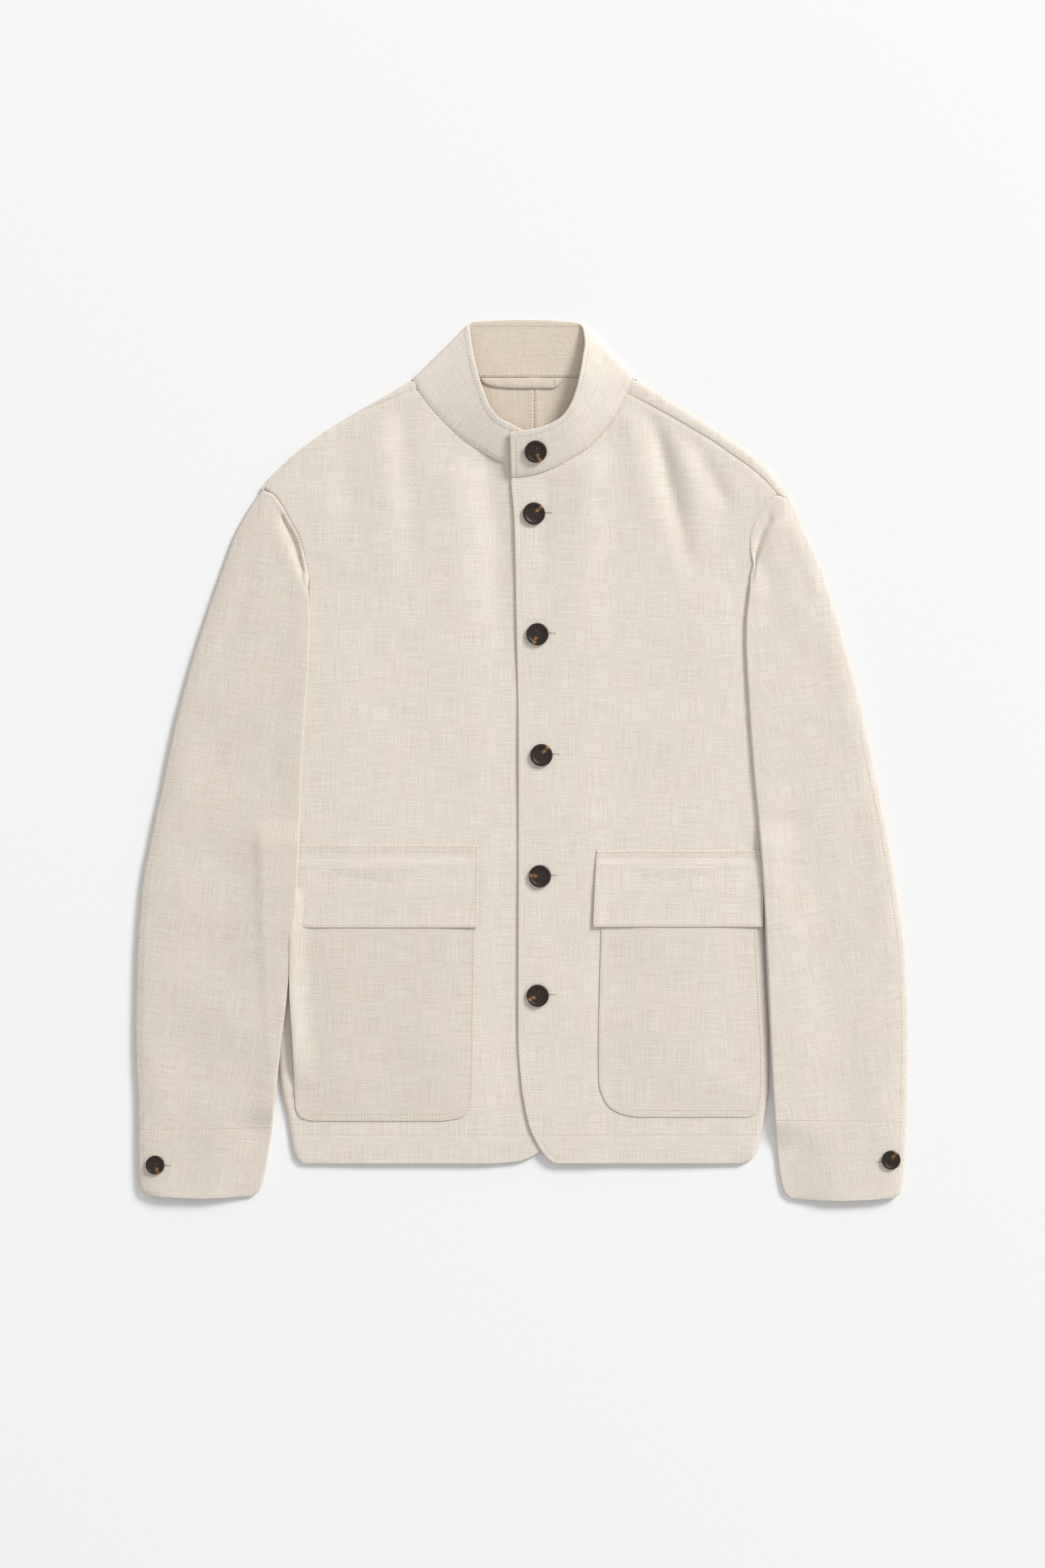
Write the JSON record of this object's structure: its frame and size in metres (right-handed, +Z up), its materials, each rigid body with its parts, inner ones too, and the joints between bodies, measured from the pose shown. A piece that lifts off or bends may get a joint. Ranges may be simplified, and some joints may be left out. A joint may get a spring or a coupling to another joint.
{
  "type": "overshirt",
  "caption": "Linen overshirt with a stand collar, buttoned front and patch pockets with flaps, laid flat on its back.",
  "frame": {"origin": "middle of the garment's footprint, on the surface it lies on", "axes": "+X to the wearer's left, +Y up the garment to the collar, +Z up from the surface"},
  "size_m": [0.6952, 0.7918, 0.0289],
  "materials": {
    "linen": "plain-woven linen in an oatmeal melange with slubs, matt and slightly creased",
    "horn_button": "dark horn-look resin with an amber streak, dished, satin polish"
  },
  "bodies": {
    "root": {"back_left": "linen", "back_right": "linen", "front_left": "linen", "front_right": "linen", "sleeve_left": "linen", "sleeve_right": "linen", "collar": "linen", "hanger_loop": "linen", "pocket_left": "linen", "pocket_right": "linen", "flap_left": "linen", "flap_right": "linen", "button_collar": "horn_button", "button_front_1": "horn_button", "button_front_2": "horn_button", "button_front_3": "horn_button", "button_front_4": "horn_button", "button_front_5": "horn_button", "button_cuff_left": "horn_button", "button_cuff_right": "horn_button"}
  },
  "joints": []
}
